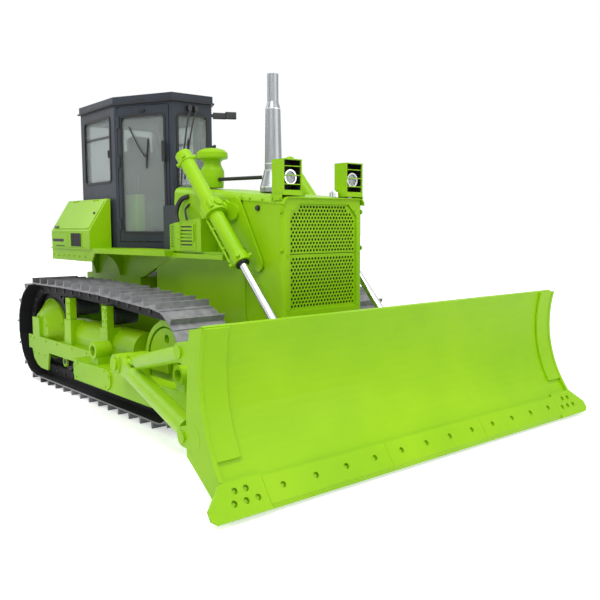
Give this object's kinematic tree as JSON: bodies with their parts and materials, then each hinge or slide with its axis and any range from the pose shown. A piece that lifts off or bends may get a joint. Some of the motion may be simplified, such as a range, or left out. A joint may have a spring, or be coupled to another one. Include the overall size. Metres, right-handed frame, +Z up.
{
  "type": "bulldozer",
  "caption": "Crawler bulldozer with enclosed cab, twin lift cylinders and a broad curved blade on a C-shaped push frame; blade lifts, doors and box lids open.",
  "frame": {"origin": "on the ground, midway along the machine's length and on its middle plane", "axes": "+X forward, +Y to the machine's left, +Z up"},
  "size_m": [5.432, 3.97, 3.0091],
  "materials": {
    "paint": "gloss",
    "cab_paint": "satin",
    "track_steel": "matte",
    "bright_steel": "satin",
    "black_plastic": "matte",
    "glass": "clear"
  },
  "bodies": {
    "tractor": {"main_frame": "paint", "hood_cover": "paint", "hood_nose": "paint", "radiator_guard": "paint", "grille_upper": "paint", "grille_lower": "paint", "headlamps": "paint", "precleaner": "paint", "louver_box_right": "paint", "louver_box_left": "paint", "cylinder_bracket_right": "paint", "cylinder_bracket_left": "paint", "fender_right": "paint", "fender_left": "paint", "side_box_right": "paint", "side_box_left": "paint", "fuel_tank": "paint", "drawbar": "paint", "console": "paint", "track_frame_right": "paint", "track_frame_left": "paint", "final_drives": "paint", "idlers": "paint", "cab_shell": "cab_paint", "cab_roof": "cab_paint", "cab_floor": "cab_paint", "engine_block": "track_steel", "track_right": "track_steel", "track_left": "track_steel", "sprockets": "track_steel", "carrier_rollers": "track_steel", "track_rollers": "track_steel", "exhaust_stack": "bright_steel", "aspirator_pipe": "black_plastic", "levers": "black_plastic", "cab_mirror": "black_plastic", "seat": "black_plastic", "headlamp_lenses": "glass", "cab_glass": "glass"},
    "door_right": {"door_right": "cab_paint", "door_glass_right": "glass"},
    "door_left": {"door_left": "cab_paint", "door_glass_left": "glass"},
    "box_lid_right": {"box_lid_right": "paint"},
    "box_lid_left": {"box_lid_left": "paint"},
    "blade_frame": {"push_frame": "paint", "struts": "paint", "braces": "paint", "moldboard": "paint", "cutting_edge": "paint", "end_bits": "paint"},
    "lift_barrel_right": {"lift_barrel_right": "paint"},
    "lift_barrel_left": {"lift_barrel_left": "paint"},
    "lift_rod_right": {"lift_rod_right": "bright_steel"},
    "lift_rod_left": {"lift_rod_left": "bright_steel"}
  },
  "joints": [
    {"name": "blade_lift", "type": "hinge", "parent": "tractor", "child": "blade_frame", "pos_m": [-0.305, 0, 0.4], "axis": [0, -1, 0], "range_deg": [-10.9, 20.4]},
    {"name": "lift_swing_right", "type": "hinge", "parent": "tractor", "child": "lift_barrel_right", "pos_m": [0.675, -0.6, 1.814], "axis": [0, -1, 0], "range_deg": [-9.3, 17.2]},
    {"name": "lift_stroke_right", "type": "slide", "parent": "lift_barrel_right", "child": "lift_rod_right", "axis": [0.686, 0, -0.7276], "range_m": [-0.61, 0.33]},
    {"name": "door_hinge_right", "type": "hinge", "parent": "tractor", "child": "door_right", "pos_m": [-1.19057, -0.52384, 2.2], "axis": [0, 0, -1], "range_deg": [0, 105]},
    {"name": "lid_hinge_right", "type": "hinge", "parent": "tractor", "child": "box_lid_right", "pos_m": [-1.827, -0.61804, 1.95696], "axis": [-1, 0, 0], "range_deg": [0, 100]},
    {"name": "lift_swing_left", "type": "hinge", "parent": "tractor", "child": "lift_barrel_left", "pos_m": [0.675, 0.6, 1.814], "axis": [0, -1, 0], "range_deg": [-9.3, 17.2]},
    {"name": "lift_stroke_left", "type": "slide", "parent": "lift_barrel_left", "child": "lift_rod_left", "axis": [0.686, 0, -0.7276], "range_m": [-0.61, 0.33]},
    {"name": "door_hinge_left", "type": "hinge", "parent": "tractor", "child": "door_left", "pos_m": [-1.19057, 0.52384, 2.2], "axis": [0, 0, 1], "range_deg": [0, 105]},
    {"name": "lid_hinge_left", "type": "hinge", "parent": "tractor", "child": "box_lid_left", "pos_m": [-1.827, 0.61804, 1.95696], "axis": [1, 0, 0], "range_deg": [0, 100]}
  ],
  "couplings": [
    {"joint": "lift_swing_right", "follows": "blade_lift", "ratio": 0.83},
    {"joint": "lift_stroke_right", "follows": "blade_lift", "m_per_rad": -1.69},
    {"joint": "lift_swing_left", "follows": "blade_lift", "ratio": 0.83},
    {"joint": "lift_stroke_left", "follows": "blade_lift", "m_per_rad": -1.69}
  ]
}
